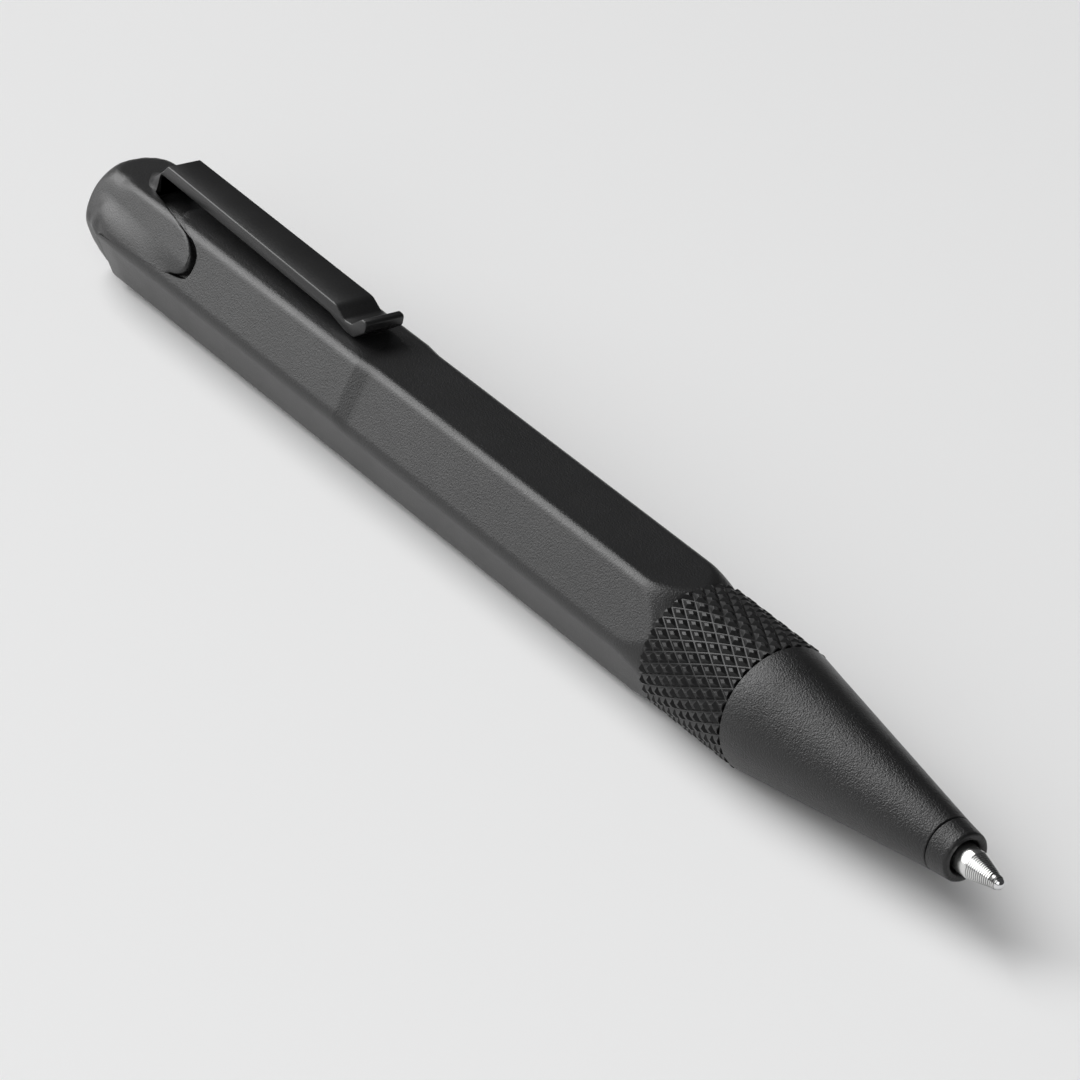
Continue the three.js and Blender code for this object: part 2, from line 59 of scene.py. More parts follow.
back = Vector((
    math.sin(azimuth) * math.cos(elevation),
    -math.cos(azimuth) * math.cos(elevation),
    math.sin(elevation),
))
level_right = Vector((math.cos(azimuth), math.sin(azimuth), 0))
level_up = back.cross(level_right)
right = level_right * math.cos(roll) + level_up * math.sin(roll)
up = level_up * math.cos(roll) - level_right * math.sin(roll)
camera_data = bpy.data.cameras.new("camera")
camera_data.sensor_width = 36
camera_data.lens = focal_share * camera_data.sensor_width
camera_data.clip_start = 0.01
camera_data.clip_end = 20
camera = bpy.data.objects.new("camera", camera_data)
turn = Matrix((right, up, back)).transposed().to_4x4()
camera.matrix_world = Matrix.Translation(back * camera_distance + right * aim_across + up * aim_up) @ turn
scene.collection.objects.link(camera)
scene.camera = camera

# Studio: a dim room, a soft light high behind the pen, a large soft wall behind it on the near side, and a
# weaker fill in front that opens the shadows. The pen lies on a pale matte table.
world = bpy.data.worlds.new("dim_room")
world.use_nodes = True
room = world.node_tree.nodes["Background"]
room.inputs["Color"].default_value = (0.97, 0.98, 1.0, 1)
room.inputs["Strength"].default_value = 0.06
scene.world = world


def soft_light(name, kind, place, watts, width=0.0, height=0.0, spread=0.0):
    light = bpy.data.lights.new(name, kind)
    light.energy = watts
    if kind == "AREA":
        light.shape = "RECTANGLE"
        light.size = width
        light.size_y = height
    else:
        light.angle = math.radians(spread)
    lamp = bpy.data.objects.new(name, light)
    lamp.location = place
    lamp.rotation_euler = (-Vector(place)).to_track_quat("-Z", "Y").to_euler()
    scene.collection.objects.link(lamp)


soft_light("back_light", "SUN", (-0.70, -0.20, 0.70), 2.4, spread=48)
soft_light("side_wall", "AREA", (-0.88, -0.62, 0.37), 6.0, 0.80, 0.72)
soft_light("front_fill", "AREA", (0.50, -0.75, 0.62), 4.6, 0.90, 0.90)

floor_mesh = bmesh.new()
bmesh.ops.create_circle(floor_mesh, cap_ends=True, segments=64, radius=3.0)
floor_data = bpy.data.meshes.new("table_top")
floor_mesh.to_mesh(floor_data)
floor_mesh.free()
table_top = bpy.data.objects.new("table_top", floor_data)
scene.collection.objects.link(table_top)
table_paint = bpy.data.materials.new("table_paint")
table_paint.use_nodes = True
table_shader = table_paint.node_tree.nodes["Principled BSDF"]
table_shader.inputs["Base Color"].default_value = (0.87, 0.87, 0.87, 1)
table_shader.inputs["Roughness"].default_value = 0.9
table_shader.inputs["Specular IOR Level"].default_value = 0.1
floor_data.materials.append(table_paint)

# Barrel: an aluminium tube of six flats with rounded corners, bead-blasted and anodised black. The two
# upper side flats are milled 0.22 mm deeper ahead of a short ramp, and the corners run out at the ring.
half_length = 63.4
axis_height = 5.65
into_frame = Matrix.Scale(0.001, 4) @ Matrix.Translation((-half_length, 0, axis_height))
half_flats = 5.25
side_lean = 24.4
corner_radius = 1.84
pad_depth = 0.22
pad_from = 43.7
pad_ramp = 2.0
barrel_front = 88.03
run_out = 3.6                      # in this length the corners fade into a circle
ridge_radius = 1.0                 # rounding of the two upper ridges

# Front edge of the cap, and the edge of the shoulder that is cut for it in the barrel: angle round the axis
# in degrees, 90 on top, and place along the pen. The cap's edge starts under the clip, crosses the ridge,
# rounds the wing's end, and runs back low on the side to the collar.
cap_edge = np.array((
    (90, 8.7), (112, 8.7), (113, 8.95), (114.6, 9.6), (117.9, 11.3), (121.6, 13.1), (124.2, 14.7),
    (126.4, 16.0), (128.6, 16.9), (131.5, 17.65), (135, 18.25), (140, 18.8), (145.3, 19.0), (150, 19.0),
    (154.5, 18.8), (158.5, 18.4), (161.6, 17.95), (163.6, 17.5), (165.4, 17.0), (167, 16.5), (168, 16.1),
    (170, 14.6), (178, 6.6), (180, 5.2), (182, 5.0), (270, 5.0)))
barrel_edge = np.array((
    (90, 13.6), (110, 13.6), (116, 14.1), (120, 14.8), (123, 15.6), (126, 16.5), (127.6, 17.2),
    (129.5, 17.9), (132.1, 18.5),
    (137.5, 19.2), (143, 19.38), (148, 19.42), (154, 19.38), (160.4, 19.1), (163.4, 18.5), (165.4, 17.6),
    (166.5, 16.9), (167.2, 16.48), (168, 16.14), (170, 14.64), (178, 6.64), (180, 5.24), (182, 5.04),
    (270, 5.04)))


def flats(proud=0.0, pad=0.0):
    """Direction in degrees and distance of each flat, from below and anticlockwise."""
    near = half_flats + proud
    return [(-90, near), (-side_lean, near), (side_lean, near + pad),
            (90, near), (180 - side_lean, near + pad), (180 + side_lean, near)]


def ridge_rounding_for(rounding):
    """The two upper ridges are crisper than the other corners, until all of them run out into a circle."""
    if rounding <= corner_radius:
        return ridge_radius * rounding / corner_radius
    growth = (half_flats - ridge_radius) / (half_flats - corner_radius)
    return ridge_radius + (rounding - corner_radius) * growth


def outline_radius(angle, sides, corner_rounding):
    """Distance from the axis to a polygon with rounded corners, in the direction of angle."""
    ridge_rounding = ridge_rounding_for(corner_rounding)
    ray = np.array((math.cos(angle), math.sin(angle)))
    for (a, d), (b, e) in zip(sides, sides[1:] + sides[:1]):
        normals = np.array((unit(a), unit(b)))
        rounding = ridge_rounding if 90 in (a, b) else corner_rounding
        centre = np.linalg.solve(normals, (d - rounding, e - rounding))
        along = ray @ centre
        inside = rounding ** 2 - centre @ centre + along ** 2
        if along <= 0 or inside < 0:
            continue
        reach = along + math.sqrt(inside)
        touch = ray * reach - centre
        past_first = touch @ unit(a + 90) >= 0
        before_next = touch @ unit(b - 90) >= 0
        if past_first and before_next:
            return reach
    return min(distance / facing for side, distance in sides if (facing := ray @ unit(side)) > 0.05)


def unit(degrees):
    return np.array((math.cos(math.radians(degrees)), math.sin(math.radians(degrees))))


def from_top(angle):
    """Degrees between a direction and straight up, the same on both sides."""
    return abs((math.degrees(angle) + 90) % 360 - 180)


def edge_at(edge, angle):
    """Place of an edge along the pen in a direction."""
    return float(np.interp(90 + from_top(angle), edge[:, 0], edge[:, 1]))


def wrapped(columns, profile_at):
    """A skin round the axis: profile_at(angle) gives the [x, radius] points of one column, all as many."""
    angles = [2 * math.pi * k / columns for k in range(columns)]
    profiles = np.array([profile_at(a) for a in angles])
    rows = profiles.shape[1]
    mesh = bmesh.new()
    bmesh.ops.create_grid(mesh, x_segments=rows - 1, y_segments=columns, size=0.5)
    for vertex in mesh.verts:
        row = round((vertex.co.x + 0.5) * (rows - 1))
        column = round((vertex.co.y + 0.5) * columns) % columns
        x, radius = profiles[column][row]
        vertex.co = (x, radius * math.cos(angles[column]), radius * math.sin(angles[column]))
    bmesh.ops.remove_doubles(mesh, verts=mesh.verts, dist=0.0005)
    bmesh.ops.dissolve_degenerate(mesh, edges=mesh.edges, dist=0.0002)
    return mesh


def finished(mesh, name, body, node, material, sharp=35):
    """Puts a piece made in millimetres into the frame, and lets it ride on its body in its node's place."""
    bmesh.ops.recalc_face_normals(mesh, faces=mesh.faces)
    mesh.transform(into_frame)
    data = bpy.data.meshes.new(name)
    mesh.to_mesh(data)
    mesh.free()
    data.shade_smooth()
    data.set_sharp_from_angle(angle=math.radians(sharp))
    data.materials.append(material)
    piece = bpy.data.objects.new(name, data)
    scene.collection.objects.link(piece)
    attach(piece, body)
    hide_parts(node)


def anodised_black(name, grain_size, grain_depth, shade=0.012, roughness=0.36):
    """Bead-blasted, black anodised aluminium: a fine wavy grain, and slow changes of shade and gloss."""
    material = bpy.data.materials.new(name)
    material.use_nodes = True
    tree = material.node_tree
    shader = tree.nodes["Principled BSDF"]
    place = tree.nodes.new("ShaderNodeTexCoord")
    grain = tree.nodes.new("ShaderNodeTexNoise")
    grain.inputs["Scale"].default_value = 1 / grain_size
    grain.inputs["Detail"].default_value = 1.2
    grain.inputs["Roughness"].default_value = 0.55
    grain.inputs["Distortion"].default_value = 0.45
    bump = tree.nodes.new("ShaderNodeBump")
    bump.inputs["Distance"].default_value = grain_depth
    bump.inputs["Strength"].default_value = 0.6
    patches = tree.nodes.new("ShaderNodeTexNoise")
    patches.inputs["Scale"].default_value = 260
    patches.inputs["Detail"].default_value = 4
    gloss = tree.nodes.new("ShaderNodeMapRange")
    gloss.inputs["To Min"].default_value = roughness - 0.05
    gloss.inputs["To Max"].default_value = roughness + 0.05
    tone = tree.nodes.new("ShaderNodeValToRGB")
    tone.color_ramp.elements[0].position = 0.3
    tone.color_ramp.elements[0].color = (shade * 0.8, shade * 0.8, shade * 0.82, 1)
    tone.color_ramp.elements[1].position = 0.7
    tone.color_ramp.elements[1].color = (shade * 1.2, shade * 1.2, shade * 1.22, 1)
    link = tree.links.new
    link(place.outputs["Object"], grain.inputs["Vector"])
    link(place.outputs["Object"], patches.inputs["Vector"])
    link(grain.outputs["Fac"], bump.inputs["Height"])
    link(bump.outputs["Normal"], shader.inputs["Normal"])
    link(patches.outputs["Fac"], gloss.inputs["Value"])
    link(gloss.outputs["Result"], shader.inputs["Roughness"])
    link(grain.outputs["Fac"], tone.inputs["Fac"])
    link(tone.outputs["Color"], shader.inputs["Base Color"])
    shader.inputs["Metallic"].default_value = 0.0
    shader.inputs["Specular IOR Level"].default_value = 0.47
    return material


barrel_black = anodised_black("barrel_black", 0.00015, 0.00005)
skin_columns = 360
seat_depth = 0.55                  # how far the seat for the cap lies under the flats
seat_length = 2.0
slot_floor = 4.3                   # the spigot in the slot under the clip
slot_side = math.sin(math.radians(127))    # the slot reaches 37 degrees to each side of the top
spigot_rear = 6.5
spigot_bore = 3.0
front_bore = 4.4
front_bore_length = 9.0
edge_break = 0.07
shut_seam = 0.15                   # the edge stays sharp where the cap lies closer than this


def barrel_profile(angle):
    plain = outline_radius(angle, flats(), corner_radius)
    proud = outline_radius(angle, flats(pad=pad_depth), corner_radius)
    seam = edge_at(barrel_edge, angle)
    seat_rear = seam - seat_length
    if math.sin(angle) > slot_side:
        seat = slot_floor
        seat_rear = min(seat_rear, spigot_rear)
    else:
        seat = outline_radius(angle, flats(proud=-seat_depth), corner_radius - 0.3)
    edge = edge_break if seam - edge_at(cap_edge, angle) > shut_seam else 0.01
    points = [(seat_rear, spigot_bore), (seat_rear, seat), (seam, seat), (seam, proud - edge)]
    points += [(seam + edge * 0.4, proud - edge * 0.3), (seam + edge, proud)]
    points += [(seam + edge + (20 - seam - edge) * k / 6, proud) for k in range(1, 7)]
    points += [(x, proud) for x in (24, 30, 36, 40, 43.2, pad_from - 0.04)]
    points += [(pad_from + pad_ramp * k / 6, proud + (plain - proud) * k / 6) for k in range(7)]
    points += [(x, plain) for x in (46.2, 52, 60, 68, 76, 82)]
    for k in range(19):
        share = k / 18
        rounding = corner_radius + (half_flats - 0.02 - corner_radius) * share * share
        x = barrel_front - run_out * (1 - share) - (0.08 if k == 18 else 0)
        points.append((x, outline_radius(angle, flats(), rounding)))
    points.append((barrel_front, points[-1][1] - 0.08))
    points += [(barrel_front, front_bore), (barrel_front - front_bore_length, front_bore)]
    points.append((seat_rear, spigot_bore))
    return points


barrel_skin = wrapped(skin_columns, barrel_profile)
finished(barrel_skin, "barrel_tube", "handle", "barrel", barrel_black)

# Cap: a domed aluminium end with the barrel's six sides, a low collar, and a round-ended wing on each
# upper side that stands proud of the barrel. Its flats lean in to the rear, and a screw holds it inside.
cap_rear_flats = 4.41
cap_rear_corner = 0.9
cap_proud = 0.4
collar_front = 5.0
seam_angles = np.linspace(-math.pi / 2, 1.5 * math.pi, 2 * skin_columns + 1)
seam_line = np.array([(edge_at(cap_edge, a), half_flats * a) for a in seam_angles])
seam_open = np.array([edge_at(barrel_edge, a) - edge_at(cap_edge, a) for a in seam_angles])
seam_round = np.interp(seam_open, (0.06, 0.25), (0.03, 0.3))
seam_round[np.abs(seam_angles - math.pi / 2) < math.radians(35)] = 0.12


def edge_drop(x, angle):
    """How far the skin falls towards the rounded front edge of the cap."""
    along = (angle + math.pi / 2) % (2 * math.pi) - math.pi / 2
    start, end = seam_line[:-1], seam_line[1:]
    step = end - start
    to_point = np.array((x, half_flats * along)) - start
    share = np.clip((to_point * step).sum(1) / (step ** 2).sum(1), 0, 1)
    distance = np.hypot(*(to_point - share[:, None] * step).T)
    near = int(distance.argmin())
    rounding = seam_round[near]
    if distance[near] >= rounding:
        return 0.0
    return float(rounding - math.sqrt(rounding ** 2 - (rounding - distance[near]) ** 2))


def smooth(share):
    share = min(1.0, max(0.0, share))
    return share * share * (3 - 2 * share)


def lean(x):
    """How far the cap's flats have come out to the wing's end: 0 behind the cap, 1 at 19 mm."""
    return min(1.0, (x + 1) / 20)


def cap_flat(x):
    return cap_rear_flats + (half_flats + cap_proud - cap_rear_flats) * lean(x)


def into_barrel(x, angle, full):
    """Low on the side the cap's skin comes down to the barrel's, but not on the collar."""
    wing_low, wing_fade = 1.15, 2.0
    starts, fade = 2.6, 2.2
    share = (1 - smooth((full * math.sin(angle) - wing_low) / wing_fade)) * smooth((x - starts) / fade)
    if x <= collar_front:
        collar_top, collar_fade = 92, 20
        share *= 1 - smooth((from_top(angle) - collar_top) / collar_fade)
    flush = outline_radius(angle, flats(pad=pad_depth), corner_radius) + 0.01
    return full + (flush - full) * share


dome_length = 4.7
dome_radius = 5.4
dome_power = 2.9
dome_blend = 60                    # how crisp the edge between the dome and the flats is


def under_dome(x, full):
    """The turned dome cuts the flats off at the rear, with a soft edge."""
    t = max(0.0, (dome_length - x) / dome_length)
    dome = dome_radius * max(1e-9, 1 - t ** dome_power) ** (1 / dome_power) + max(0.0, x - dome_length) * 0.2
    return (full ** -dome_blend + max(dome, 0.02) ** -dome_blend) ** (-1 / dome_blend)


rest_half = 1.5
rest_rear = 2.2
rest_ramp = 1.6
rest_side = 0.4


def over_rest_pad(x, angle, full):
    """The small flat pad under the cap that keeps the pen level on a table."""
    across = abs(full * math.cos(angle))
    if -full * math.sin(angle) <= 4 or across >= rest_half + 0.5 or x <= rest_rear:
        return full
    side = min(1.0, max(0.0, (rest_half + rest_side - across) / rest_side))
    ramp = min(1.0, (x - rest_rear) / rest_ramp) * side
    level = half_flats + cap_proud
    return full + max(0.0, level / -math.sin(angle) - full) * smooth(ramp)


def cap_surface(x, angle):
    """Radius of the cap's skin before its front edge is rounded."""
    share = lean(x)
    corner = cap_rear_corner + (corner_radius - cap_rear_corner) * share
    sides = flats(cap_flat(x) - half_flats, pad_depth * (1 + share) / 2)
    full = into_barrel(x, angle, outline_radius(angle, sides, corner))
    return over_rest_pad(x, angle, under_dome(x, full))


cap_rows = (0, 0.01, 0.04, 0.1, 0.2, 0.35, 0.55, 0.8, 1.1, 1.5, 2.0, 2.6)
edge_rows = (1.8, 1.45, 1.15, 0.9, 0.7, 0.52, 0.4, 0.3, 0.22, 0.15, 0.09, 0.05, 0.02, 0)


def cap_profile(angle):
    front = edge_at(cap_edge, angle)
    middle = front - edge_rows[0]
    count = 24
    xs = list(cap_rows)
    xs += [cap_rows[-1] + (middle - cap_rows[-1]) * k / count for k in range(1, count)]
    xs += [front - d for d in edge_rows]
    points = []
    for x in xs:
        radius = cap_surface(x, angle) if x > 0 else 0.0
        points.append((x, radius - edge_drop(x, angle)))
    wall = min(points[-1][1] - 0.3, 4.55)
    points += [(front, wall), (2.0, min(wall, 3.2)), (1.6, 0.0)]
    return points


cap_skin = wrapped(skin_columns, cap_profile)
finished(cap_skin, "cap_dome", "handle", "rear_cap", barrel_black, 50)

# Clip: one piece of spring metal that swells up out of the cap in a soft root and widens forwards. Its arm
# runs almost level, dips to the barrel, and ends in a lip that is turned up so that cloth slides under it.
clip_half_rear = 1.69              # half of the width at the root's crest
clip_half_front = 1.94             # and at the lip
widens_from = 9
widens_to = 40
root_rear = 4.4
root_front = 8.7
root_half = 2.14
root_widening = 0.68               # how fast the root widens from its rear end
root_swell = 0.095                 # and how fast its crest rises
clip_outline = (                   # along the pen, above the axis, and how far the corner is rounded
    ((7.6, 4.9), 0), ((root_front, 4.9), 0), ((root_front, 6.64), 0.35), ((36.6, 6.03), 1.6),
    ((39.1, 5.45), 1.3), ((40.5, 5.45), 0.9), ((42.1, 6.6), 0.5), ((42.25, 7.62), 0.3),
    ((41.5, 7.66), 0.25), ((40.1, 6.55), 0.8), ((39.0, 6.4), 0.8), ((37.5, 7.22), 1.6),
    ((9.8, 7.84), 0.1), ((9.2, 7.215), 0), ((8.6, 6.665), 0), ((7.6, 5.9), 0))


def rounded(corners, steps=6):
    """A closed outline with an arc in each corner."""
    outline = []
    for k, (corner, radius) in enumerate(corners):
        here = np.array(corner)
        if radius == 0:
            outline.append(tuple(here))
            continue
        to_last = np.array(corners[k - 1][0]) - here
        to_next = np.array(corners[(k + 1) % len(corners)][0]) - here
        to_last /= np.linalg.norm(to_last)
        to_next /= np.linalg.norm(to_next)
        half_angle = math.acos(to_last @ to_next) / 2
        reach = radius / math.tan(half_angle)
        middle = (to_last + to_next) / np.linalg.norm(to_last + to_next)
        centre = here + middle * radius / math.sin(half_angle)
        first = math.atan2(*(here + to_last * reach - centre)[::-1])
        last = math.atan2(*(here + to_next * reach - centre)[::-1])
        sweep = (last - first + math.pi) % (2 * math.pi) - math.pi
        for step in range(steps + 1):
            a = first + sweep * step / steps
            outline.append((centre[0] + radius * math.cos(a), centre[1] + radius * math.sin(a)))
    return outline


clip_mesh = bmesh.new()
rim = 0.11                         # the three insets below widen the strip's sides by this much
strip = clip_mesh.faces.new([clip_mesh.verts.new((x, -1, z)) for x, z in rounded(clip_outline)])
pulled = bmesh.ops.extrude_face_region(clip_mesh, geom=[strip])["geom"]
bmesh.ops.translate(clip_mesh, vec=(0, 2, 0), verts=[v for v in pulled if isinstance(v, bmesh.types.BMVert)])
for vertex in clip_mesh.verts:         # its rear end is drawn in, so that the root covers it
    share = (vertex.co.x - widens_from) / (widens_to - widens_from)
    narrow = 0.12 * max(0.0, (8.5 - vertex.co.x) / 0.9) ** 2
    vertex.co.y *= clip_half_rear + (clip_half_front - clip_half_rear) * share - rim - narrow
bmesh.ops.recalc_face_normals(clip_mesh, faces=clip_mesh.faces)
sides = [f for f in clip_mesh.faces if len(f.verts) > 4]
for thickness, depth in ((0.02, 0.055), (0.035, 0.035), (0.055, 0.02)):
    bmesh.ops.inset_individual(clip_mesh, faces=sides, thickness=thickness, depth=depth, use_even_offset=True)


def root_section(x, points=40):
    """A closed section of the root: its back with soft feet on the cap's top flat, and a sunk underside."""
    flat = cap_flat(x)
    foot = ((root_widening * (x - root_rear) + 0.12) ** -8 + root_half ** -8) ** (-1 / 8)
    fillet = min(foot, float(np.interp(x, (5.2, 7.6), (0.9, 0.52))))
    crest = root_swell * (x - root_rear) ** 2
    section = []
    for k in range(points):
        across = foot * (2 * k / (points - 1) - 1)
        share = min(1.0, (foot - abs(across)) / fillet)
        section.append((x, across, flat - 0.02 + crest * smooth(share)))
    return section + [(x, foot, flat - 0.5), (x, 0, flat - 0.5), (x, -foot, flat - 0.5)]


root_steps = 30
root_places = [root_rear + (root_front - root_rear) * k / root_steps for k in range(root_steps + 1)]
sections = [root_section(x) for x in root_places]
around = len(sections[0])
root_mesh = bmesh.new()
bmesh.ops.create_grid(root_mesh, x_segments=root_steps, y_segments=around, size=0.5)
for vertex in root_mesh.verts:
    section = sections[round((vertex.co.x + 0.5) * root_steps)]
    vertex.co = section[round((vertex.co.y + 0.5) * around) % around]
bmesh.ops.remove_doubles(root_mesh, verts=root_mesh.verts, dist=0.0005)
bmesh.ops.holes_fill(root_mesh, edges=[e for e in root_mesh.edges if e.is_boundary], sides=around)
root_data = bpy.data.meshes.new("root")
root_mesh.to_mesh(root_data)
root_mesh.free()
clip_mesh.from_mesh(root_data)
bpy.data.meshes.remove(root_data)
clip_black = anodised_black("clip_black", 0.00018, 0.000012, shade=0.011, roughness=0.35)
finished(clip_mesh, "clip_strip", "clip_arm", "clip", clip_black, 40)

# Turning ring: black anodised aluminium with a diamond knurl, 32 starts each way. Each tooth is a low
# pyramid with a flat top, between narrow flat grooves, and the ring is cut square at both ends.
ring_rear = 88.15
ring_front = 98.55
ring_radius = 5.65
knurl_starts = 32
knurl_pitch = 2.06                 # along the pen
knurl_depth = 0.28
groove_floor = 0.05                # half of its width
flank = 0.27
top_break = 0.015
sleeve_radius = 4.45


def knurled_skin():
    around = 2 * math.pi * ring_radius
    step_around = around / knurl_starts
    length = ring_front - ring_rear
    mesh = bmesh.new()
    cells = knurl_starts + 2 * math.ceil(length / knurl_pitch)
    bmesh.ops.create_grid(mesh, x_segments=2 * cells, y_segments=2 * cells, size=cells)
    bmesh.ops.rotate(mesh, cent=(0, 0, 0), matrix=Matrix.Rotation(math.radians(45), 3, "Z"), verts=mesh.verts)
    bmesh.ops.scale(
        mesh, vec=(knurl_pitch / math.sqrt(2), step_around / math.sqrt(2), 1), verts=mesh.verts)
    spare = []
    for face in mesh.faces:
        middle = face.calc_center_median()
        kept = -knurl_pitch < middle.x < length + knurl_pitch and -1e-4 < middle.y < around - 1e-4
        if not kept:
            spare.append(face)
    bmesh.ops.delete(mesh, geom=spare, context="FACES")
    tops = mesh.faces[:]
    for thickness, depth in ((groove_floor, 0), (flank, knurl_depth - top_break), (0.03, top_break)):
        bmesh.ops.inset_individual(mesh, faces=tops, thickness=thickness, depth=depth, use_even_offset=True)
        tops = [f for f in mesh.faces if f.calc_area() > 0 and is_tooth_top(f, step_around)]
    for plane, normal in ((0, (-1, 0, 0)), (length, (1, 0, 0))):
        bmesh.ops.bisect_plane(
            mesh, geom=mesh.verts[:] + mesh.edges[:] + mesh.faces[:], dist=1e-5,
            plane_co=(plane, 0, 0), plane_no=normal, clear_outer=True)
    for vertex in mesh.verts:
        x, along, height = vertex.co
        radius = ring_radius - knurl_depth + height
        angle = along / ring_radius
        vertex.co = (ring_rear + x, radius * math.cos(angle), radius * math.sin(angle))
    bmesh.ops.remove_doubles(mesh, verts=mesh.verts, dist=0.002)
    return mesh


def is_tooth_top(face, step_around):
    """The four-sided face in the middle of a cell: its centre is on the lattice of cells."""
    middle = face.calc_center_median()
    column = middle.x / (knurl_pitch / 2)
    row = middle.y / (step_around / 2)
    near = abs(column - round(column)) < 0.02 and abs(row - round(row)) < 0.02
    return near and len(face.verts) == 4


knurl = knurled_skin()
ends = []
for place in (ring_rear, ring_front):
    at_end = [e for e in knurl.edges if e.is_boundary and all(abs(v.co.x - place) < 0.01 for v in e.verts)]
    sunk = bmesh.ops.extrude_edge_only(knurl, edges=at_end)["geom"]
    for vertex in (g for g in sunk if isinstance(g, bmesh.types.BMVert)):
        vertex.co.yz = vertex.co.yz.normalized() * sleeve_radius
    ends += [g for g in sunk if isinstance(g, bmesh.types.BMEdge) and g.is_boundary]
bmesh.ops.bridge_loops(knurl, edges=ends)
ring_black = anodised_black("ring_black", 0.0003, 0.000006, shade=0.008, roughness=0.3)
ring_black.node_tree.nodes["Principled BSDF"].inputs["Specular IOR Level"].default_value = 0.3
finished(knurl, "knurled_grip", "front_section", "knurled_ring", ring_black, 12)

# Cone: turned aluminium with a plain taper and a small rounded shoulder at the ring, blasted and anodised
# like the barrel. It holds the spring and screws on the drive tube.
cone_rear = 98.7
cone_front = 120.3
cone_shoulder = 5.56
nose_radius = 2.36


def turned(points, steps=160):
    """A solid of revolution about the pen's axis from a closed outline of [x, radius] points."""
    mesh = bmesh.new()
    verts = [mesh.verts.new((x, 0, r)) for x, r in points]
    closed = points[0][1] > 0
    pairs = list(zip(verts, verts[1:])) + ([(verts[-1], verts[0])] if closed else [])
    edges = [mesh.edges.new(pair) for pair in pairs]
    bmesh.ops.spin(
        mesh, geom=verts + edges, cent=(0, 0, 0), axis=(1, 0, 0), dvec=(0, 0, 0),
        angle=2 * math.pi, steps=steps, use_merge=True)
    bmesh.ops.remove_doubles(mesh, verts=mesh.verts, dist=0.0003)
    return mesh


def arc_points(x, z, radius, start, end, steps):
    turned_to = [math.radians(start + (end - start) * k / steps) for k in range(steps + 1)]
    return [(x + radius * math.cos(a), z + radius * math.sin(a)) for a in turned_to]


shoulder_round = 0.14
spigot_back = 0.2                  # a spigot on the cone fills the gap to the ring
spigot_radius = 5.1
cone_points = [(cone_rear - spigot_back, 4.5), (cone_rear - spigot_back, spigot_radius)]
cone_points += [(cone_rear, spigot_radius)]
shoulder_centre = (cone_rear + shoulder_round, cone_shoulder - shoulder_round)
cone_points += arc_points(*shoulder_centre, shoulder_round, 180, 92, 8)
for k in range(1, 9):
    x = cone_rear + (cone_front - 0.06 - cone_rear) * k / 8
    cone_points.append((x, cone_shoulder + (nose_radius - cone_shoulder) * k / 8))
cone_points += [(cone_front, nose_radius - 0.07), (cone_front, 1.95), (114.6, 1.95), (112, 3.0), (99.5, 3.6)]
cone_black = anodised_black("cone_black", 0.00014, 0.0001, shade=0.010, roughness=0.36)
finished(turned(cone_points), "cone_taper", "front_section", "front_cone", cone_black, 40)

# Nose collar: a short turned ring that closes the cone, with a fine dark groove behind it, a rounded front
# edge and a flat face round the bore.
collar_start = 120.4
nose_face = 122.45
collar_points = [(collar_start, 1.5), (collar_start, nose_radius - 0.1)]
collar_points += [(collar_start + 0.06, nose_radius - 0.03), (nose_face - 0.3, 2.13)]
collar_points += arc_points(nose_face - 0.26, 1.87, 0.26, 75, 0, 6)
collar_points += [(nose_face, 1.62), (nose_face - 0.1, 1.5), (nose_face - 0.4, 1.4), (nose_face - 1.2, 1.4)]
finished(turned(collar_points), "nose_ring", "front_section", "nose_collar", cone_black, 40)

# Writing tip: nickel silver rod, turned to a cone with fine tool marks, with a polished seat that is spun
# in round the tungsten carbide ball.
pen_end = 126.8
ball_radius = 0.5
rod_radius = 1.22
taper_from = pen_end - 3.15
rod_rear = 114.0
marks = 12
mark_depth = 0.035
marked_length = 2.2
tip_points = [(rod_rear, 0.0), (rod_rear, rod_radius), (taper_from - 0.03, rod_radius)]
tip_points += [(taper_from, rod_radius - 0.03)]
for mark in range(2 * marks):
    t = mark / (2 * marks)
    radius = 1.19 + (0.62 - 1.19) * t + 0.06 * t * (1 - t)
    tip_points.append((taper_from + 0.02 + marked_length * t, radius - (mark_depth if mark % 2 else 0)))
tip_points += [(pen_end - 0.88, 0.6), (pen_end - 0.62, 0.58), (pen_end - 0.46, 0.53), (pen_end - 0.4, 0.49)]
tip_points += [(pen_end - 0.55, 0.42), (pen_end - 0.7, 0.0)]


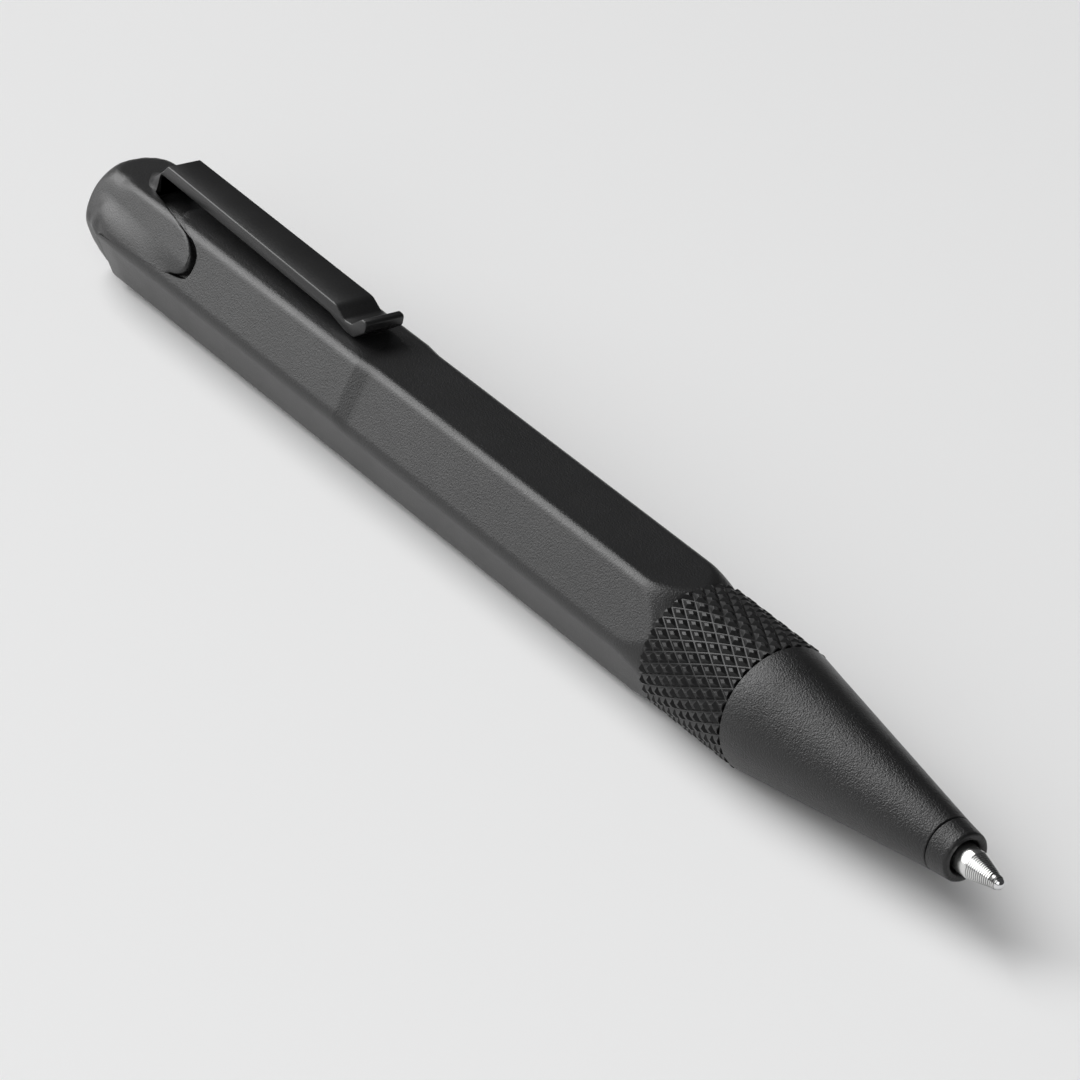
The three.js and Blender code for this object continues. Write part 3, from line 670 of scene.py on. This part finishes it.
def bright_metal(name, colour, roughness, marks_size=0.0):
    """Bare turned metal: slight changes of gloss, and hairlines round the axis where marks_size is given."""
    material = bpy.data.materials.new(name)
    material.use_nodes = True
    tree = material.node_tree
    shader = tree.nodes["Principled BSDF"]
    shader.inputs["Base Color"].default_value = (*colour, 1)
    shader.inputs["Metallic"].default_value = 1.0
    place = tree.nodes.new("ShaderNodeTexCoord")
    stretch = tree.nodes.new("ShaderNodeMapping")
    stretch.inputs["Scale"].default_value = (1, 0.05, 0.05) if marks_size else (1, 1, 1)
    noise = tree.nodes.new("ShaderNodeTexNoise")
    noise.inputs["Scale"].default_value = 1 / (marks_size or 0.0008)
    noise.inputs["Detail"].default_value = 3
    gloss = tree.nodes.new("ShaderNodeMapRange")
    gloss.inputs["To Min"].default_value = roughness * 0.7
    gloss.inputs["To Max"].default_value = roughness * 1.4
    bump = tree.nodes.new("ShaderNodeBump")
    bump.inputs["Distance"].default_value = 0.000002
    bump.inputs["Strength"].default_value = 0.3
    link = tree.links.new
    link(place.outputs["Object"], stretch.inputs["Vector"])
    link(stretch.outputs["Vector"], noise.inputs["Vector"])
    link(noise.outputs["Fac"], gloss.inputs["Value"])
    link(gloss.outputs["Result"], shader.inputs["Roughness"])
    link(noise.outputs["Fac"], bump.inputs["Height"])
    link(bump.outputs["Normal"], shader.inputs["Normal"])
    return material


def shade_painted_in_marks(material, colour, pitch, taper_start):
    """Painted shade: dark lines round the axis where the tool has marked the taper, in place of the shade
    that the marks' grooves catch.
    """
    tree = material.node_tree
    place = tree.nodes.new("ShaderNodeTexCoord")
    lines = tree.nodes.new("ShaderNodeTexWave")
    lines.inputs["Scale"].default_value = 2 * math.pi / (20 * pitch)
    lines.inputs["Distortion"].default_value = 0.3
    axes = tree.nodes.new("ShaderNodeSeparateXYZ")
    on_taper = tree.nodes.new("ShaderNodeMapRange")
    on_taper.inputs["From Min"].default_value = (taper_start - half_length - 0.01) / 1000
    on_taper.inputs["From Max"].default_value = (taper_start - half_length + 0.03) / 1000
    on_taper.inputs["To Max"].default_value = 0.9
    both = tree.nodes.new("ShaderNodeMath")
    both.operation = "MULTIPLY"
    tone = tree.nodes.new("ShaderNodeValToRGB")
    tone.color_ramp.elements[0].color = (*colour, 1)
    tone.color_ramp.elements[1].color = (0.10, 0.10, 0.10, 1)
    link = tree.links.new
    link(place.outputs["Object"], lines.inputs["Vector"])
    link(place.outputs["Object"], axes.inputs["Vector"])
    link(axes.outputs["X"], on_taper.inputs["Value"])
    link(lines.outputs["Fac"], both.inputs[0])
    link(on_taper.outputs["Result"], both.inputs[1])
    link(both.outputs["Value"], tone.inputs["Fac"])
    link(tone.outputs["Color"], tree.nodes["Principled BSDF"].inputs["Base Color"])


silver = (0.80, 0.80, 0.79)
tip_silver = bright_metal("tip_silver", silver, 0.22, 0.00006)
# The dark rings on the taper are painted shade in the tip's colour; the metal itself is not darker there.
shade_painted_in_marks(tip_silver, silver, 0.00018, taper_from)
finished(turned(tip_points, 96), "tip_rod", "refill", "refill_tip", tip_silver, 30)
ball_mesh = bmesh.new()
bmesh.ops.create_uvsphere(ball_mesh, u_segments=32, v_segments=20, radius=ball_radius)
quarter_turn = Matrix.Rotation(math.radians(90), 3, "Y")
bmesh.ops.rotate(ball_mesh, cent=(0, 0, 0), matrix=quarter_turn, verts=ball_mesh.verts)
bmesh.ops.translate(ball_mesh, vec=(pen_end - ball_radius, 0, 0), verts=ball_mesh.verts)
ball_steel = bright_metal("ball_steel", (0.72, 0.72, 0.73), 0.1)
finished(ball_mesh, "tip_ball", "ball", "writing_ball", ball_steel, 60)

# Inside: the mechanism and the refill keep their solid shapes, each in its own metal or plastic.
inner_steel = bright_metal("inner_steel", (0.6, 0.6, 0.61), 0.3, 0.0002)
inner_brass = bright_metal("inner_brass", (0.68, 0.53, 0.28), 0.32, 0.0002)


def moulded(name, colour, roughness):
    """Plain moulded plastic or rubber, with a fine texture and slow changes of shade."""
    material = bpy.data.materials.new(name)
    material.use_nodes = True
    tree = material.node_tree
    shader = tree.nodes["Principled BSDF"]
    place = tree.nodes.new("ShaderNodeTexCoord")
    noise = tree.nodes.new("ShaderNodeTexNoise")
    noise.inputs["Scale"].default_value = 3000
    tone = tree.nodes.new("ShaderNodeValToRGB")
    tone.color_ramp.elements[0].color = (*(c * 0.88 for c in colour), 1)
    tone.color_ramp.elements[1].color = (*(min(1, c * 1.1) for c in colour), 1)
    bump = tree.nodes.new("ShaderNodeBump")
    bump.inputs["Distance"].default_value = 0.00001
    bump.inputs["Strength"].default_value = 0.3
    link = tree.links.new
    link(place.outputs["Object"], noise.inputs["Vector"])
    link(noise.outputs["Fac"], tone.inputs["Fac"])
    link(tone.outputs["Color"], shader.inputs["Base Color"])
    link(noise.outputs["Fac"], bump.inputs["Height"])
    link(bump.outputs["Normal"], shader.inputs["Normal"])
    shader.inputs["Roughness"].default_value = roughness
    return material


finish_of_slot = {
    "steel": inner_steel,
    "nickel_silver": tip_silver,
    "brass": inner_brass,
    "anodised_black": barrel_black,
    "seal": moulded("seal_rubber", (0.02, 0.02, 0.02), 0.8),
    "nylon": moulded("natural_nylon", (0.8, 0.79, 0.75), 0.5),
    "ink": moulded("paste_ink", (0.01, 0.012, 0.03), 0.25),
}
slot_of_node = {part["node"]: part["material_slot"] for part in frame["record"]["subparts"]}
for node, solid in frame["nodes"].items():
    solid.data.materials.clear()
    solid.data.materials.append(finish_of_slot[slot_of_node[node]])
